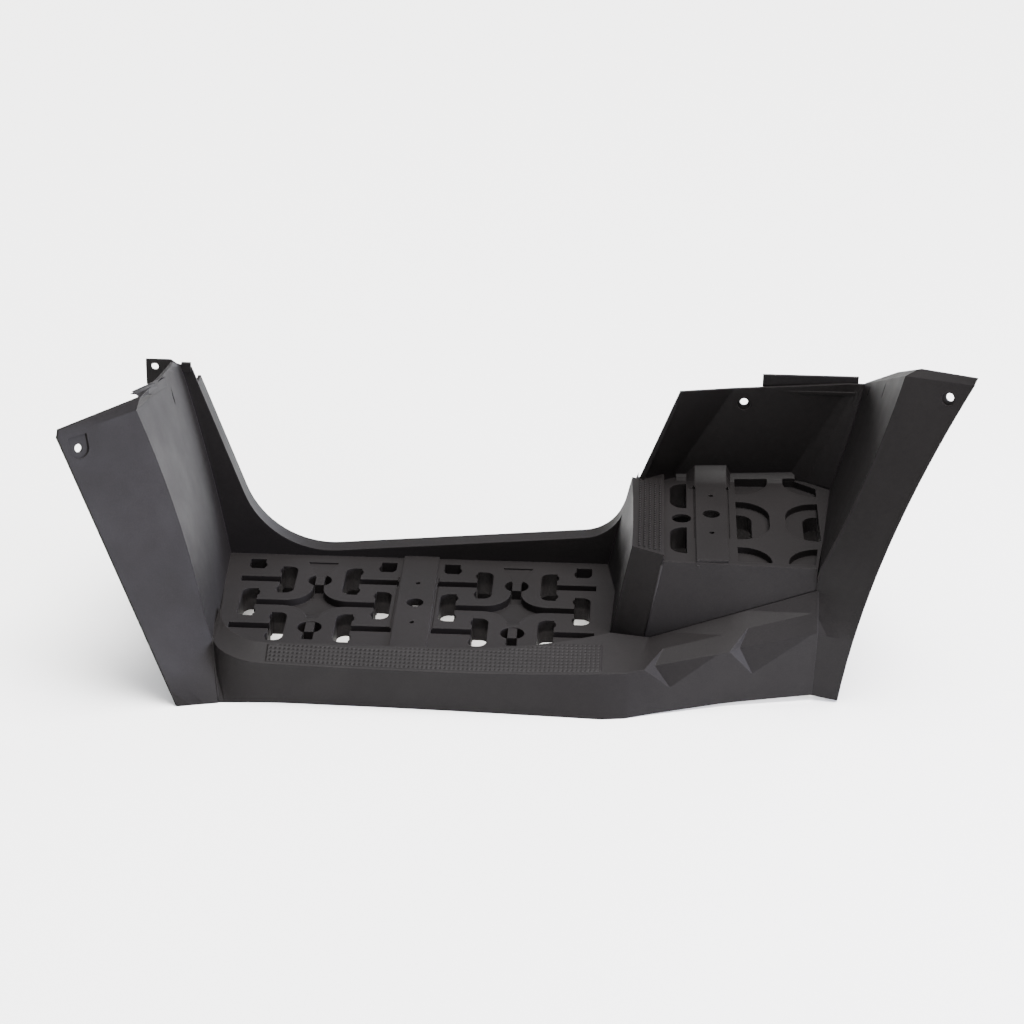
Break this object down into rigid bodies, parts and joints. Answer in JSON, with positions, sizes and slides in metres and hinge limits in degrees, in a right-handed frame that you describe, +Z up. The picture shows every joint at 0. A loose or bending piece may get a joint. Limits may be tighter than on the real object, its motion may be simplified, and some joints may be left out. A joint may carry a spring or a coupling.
{
  "type": "footwell board",
  "caption": "Moulded left-hand footwell for an all-terrain vehicle: treaded driver's floor, raised passenger step, low inner wall and tall front and rear guards.",
  "frame": {"origin": "axis of the floor bolt hole, at the height of the floor tread", "axes": "+X towards the vehicle's rear and the raised step, +Y inboard towards the inner wall, +Z up"},
  "size_m": [0.8522, 0.277, 0.3425],
  "materials": {
    "board": "fine grained satin black polypropylene"
  },
  "bodies": {
    "root": {"footrest_board": "board"}
  },
  "joints": []
}
